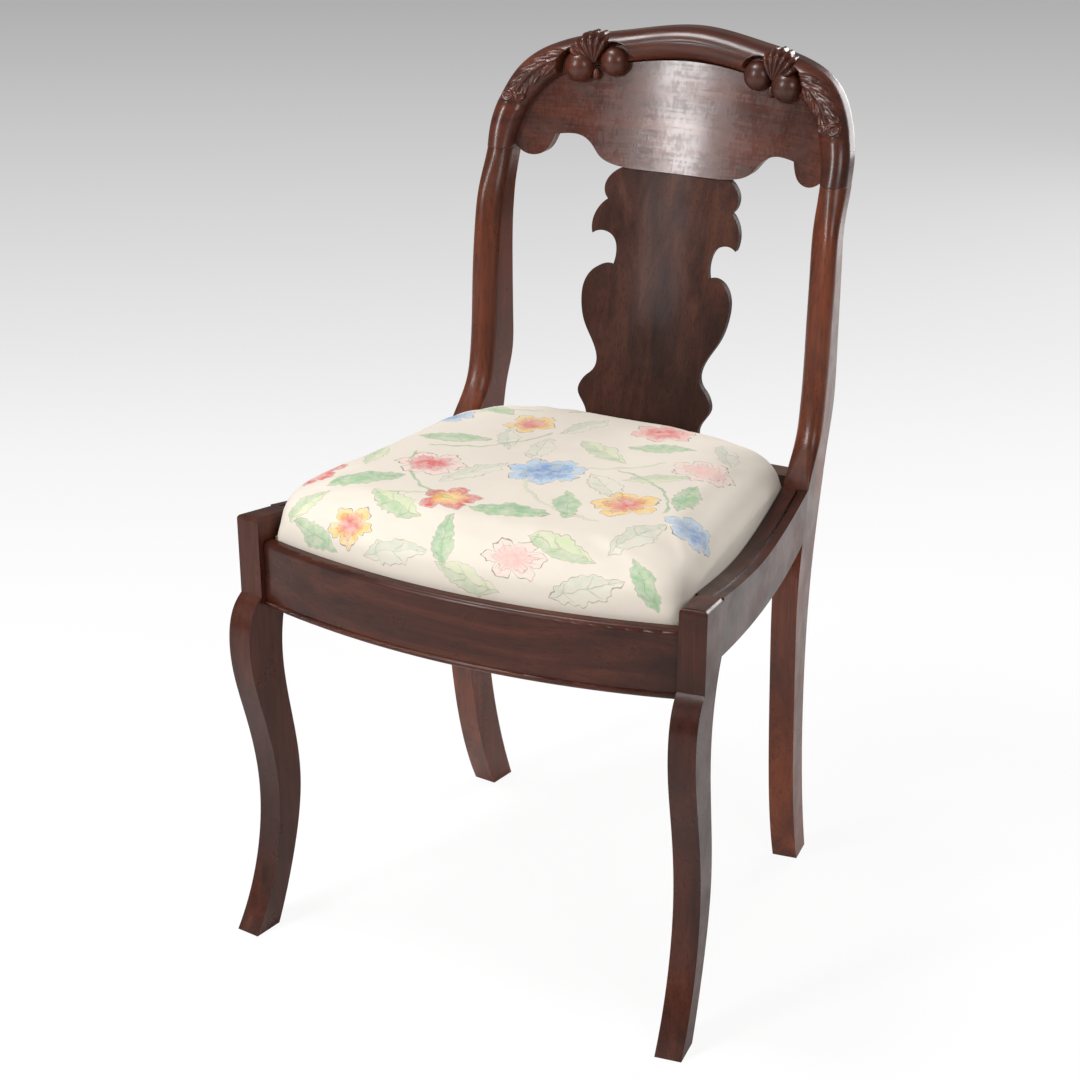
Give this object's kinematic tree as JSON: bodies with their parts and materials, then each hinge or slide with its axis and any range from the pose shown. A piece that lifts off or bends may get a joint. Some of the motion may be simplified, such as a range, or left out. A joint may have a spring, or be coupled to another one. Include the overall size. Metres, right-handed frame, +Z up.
{
  "type": "balloon back chair",
  "caption": "Balloon back side chair with a carved arched crest, a lobed veneered tablet, a vase shaped splat, sweeping sawn side frames and a loose printed cotton seat.",
  "frame": {"origin": "on the floor under the middle of the chair's bounding box", "axes": "+Z up, -Y towards the front where the sitter faces, +X across to the sitter's left"},
  "size_m": [0.4742, 0.517, 0.8065],
  "materials": {
    "mahogany": "polished",
    "figured_veneer": "polished",
    "splat_mahogany": "polished",
    "secondary_wood": "matte",
    "seat_frame_wood": "matte",
    "webbing": "woven",
    "sacking": "woven",
    "horsehair": "matte",
    "printed_cotton": "matte",
    "iron_tacks": "dull"
  },
  "bodies": {
    "frame": {"front_leg_right": "mahogany", "front_leg_left": "mahogany", "rear_leg_right": "mahogany", "rear_leg_left": "mahogany", "side_rail_right": "mahogany", "side_rail_left": "mahogany", "front_rail": "mahogany", "front_rail_bead": "mahogany", "crest_rail": "mahogany", "splat": "splat_mahogany", "tablet_veneer": "figured_veneer", "rear_rail": "secondary_wood", "tablet_core": "secondary_wood", "crest_dowels": "secondary_wood", "corner_block_front_right": "secondary_wood", "corner_block_front_left": "secondary_wood", "corner_block_rear_right": "secondary_wood", "corner_block_rear_left": "secondary_wood"},
    "slip_seat": {"seat_frame_front": "seat_frame_wood", "seat_frame_back": "seat_frame_wood", "seat_frame_right": "seat_frame_wood", "seat_frame_left": "seat_frame_wood", "seat_webbing": "webbing", "seat_hessian": "sacking", "seat_stuffing": "horsehair", "seat_cover": "printed_cotton", "seat_tacks": "iron_tacks"}
  },
  "joints": [
    {"name": "seat_lift", "type": "slide", "parent": "frame", "child": "slip_seat", "axis": [0, 0, 1], "range_m": [0, 0.12]}
  ]
}
